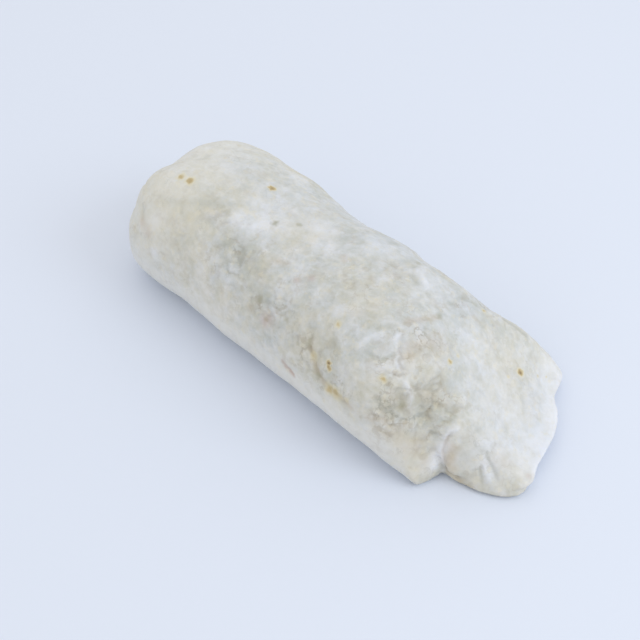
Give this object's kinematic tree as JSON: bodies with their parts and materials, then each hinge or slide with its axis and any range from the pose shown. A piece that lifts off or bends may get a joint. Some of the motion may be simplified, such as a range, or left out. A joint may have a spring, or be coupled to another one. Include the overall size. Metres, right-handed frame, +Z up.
{
  "type": "burrito",
  "caption": "Rolled flour tortilla parcel with a rounded tucked end, and a flattened loose end that drops to the table as a wavy two-layer flap beside a creased corner.",
  "frame": {"origin": "middle of the outline box, on the table the burrito lies on", "axes": "+X along the roll towards its loose end, +Y towards the back, +Z up"},
  "size_m": [0.1898, 0.0852, 0.0494],
  "materials": {
    "tortilla": "matte"
  },
  "bodies": {
    "root": {"burrito": "tortilla"}
  },
  "joints": []
}
